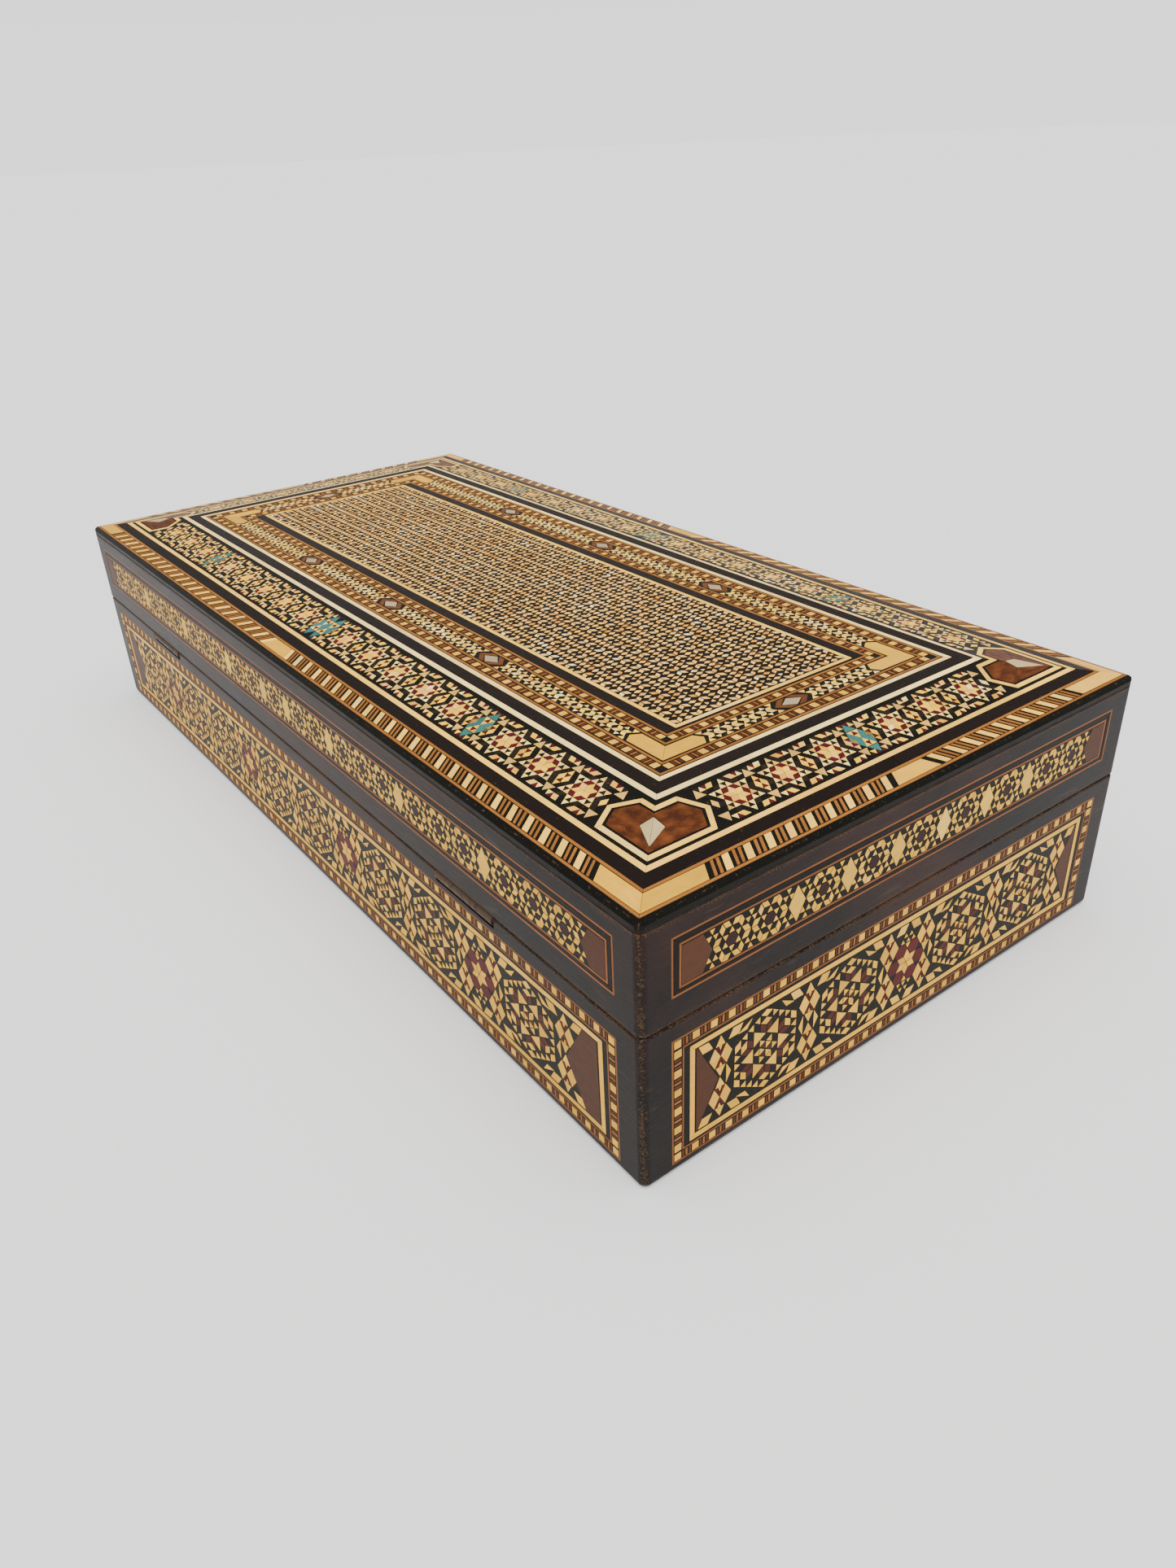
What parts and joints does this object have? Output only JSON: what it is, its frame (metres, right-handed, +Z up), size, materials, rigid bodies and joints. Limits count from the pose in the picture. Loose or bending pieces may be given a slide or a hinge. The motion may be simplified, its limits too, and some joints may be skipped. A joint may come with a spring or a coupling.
{
  "type": "inlaid wooden box",
  "caption": "Low rectangular wooden box with a crowned hinged lid, covered in star and stripe marquetry of bone, dyed wood and pearl.",
  "frame": {"origin": "middle of the underside", "axes": "+Z up, X along the length, hinges on the +Y side"},
  "size_m": [0.3, 0.1456, 0.0662],
  "materials": {
    "dark_veneer": "rosewood veneer under worn varnish",
    "marquetry": "micro-mosaic of dyed wood, bone and pearl under varnish",
    "felt_lining": "matt dark red felt on card",
    "pale_wood": "plain sanded wood",
    "aged_brass": "dull tarnished brass",
    "steel_brads": "dull steel"
  },
  "bodies": {
    "base": {"base_bottom_panel": "pale_wood", "bottom_pins": "steel_brads", "base_lining_floor": "felt_lining", "hinge_base_brads": "aged_brass", "base_front_board": "dark_veneer", "base_front_marquetry": "marquetry", "base_right_board": "dark_veneer", "base_right_marquetry": "marquetry", "base_back_board": "dark_veneer", "base_back_marquetry": "marquetry", "base_left_board": "dark_veneer", "base_left_marquetry": "marquetry", "base_lining_front": "felt_lining", "base_lining_right": "felt_lining", "base_lining_back": "felt_lining", "base_lining_left": "felt_lining", "hinge_left_base_leaf": "aged_brass", "hinge_left_pin": "aged_brass", "hinge_right_base_leaf": "aged_brass", "hinge_right_pin": "aged_brass"},
    "lid": {"lid_top_board": "dark_veneer", "top_centre_field": "marquetry", "lid_lining_ceiling": "felt_lining", "hinge_lid_brads": "aged_brass", "lid_front_rail": "dark_veneer", "lid_front_marquetry": "marquetry", "lid_right_rail": "dark_veneer", "lid_right_marquetry": "marquetry", "lid_back_rail": "dark_veneer", "lid_back_marquetry": "marquetry", "lid_left_rail": "dark_veneer", "lid_left_marquetry": "marquetry", "lid_lining_front": "felt_lining", "lid_lining_right": "felt_lining", "lid_lining_back": "felt_lining", "lid_lining_left": "felt_lining", "top_outer_border_front": "marquetry", "top_inner_border_front": "marquetry", "top_outer_border_right": "marquetry", "top_inner_border_right": "marquetry", "top_outer_border_back": "marquetry", "top_inner_border_back": "marquetry", "top_outer_border_left": "marquetry", "top_inner_border_left": "marquetry", "hinge_left_lid_leaf": "aged_brass", "hinge_right_lid_leaf": "aged_brass"}
  },
  "joints": [
    {"name": "lid_hinge", "type": "hinge", "parent": "base", "child": "lid", "pos_m": [0, 0.0717, 0.03625], "axis": [-1, 0, 0], "range_deg": [0, 110]}
  ]
}
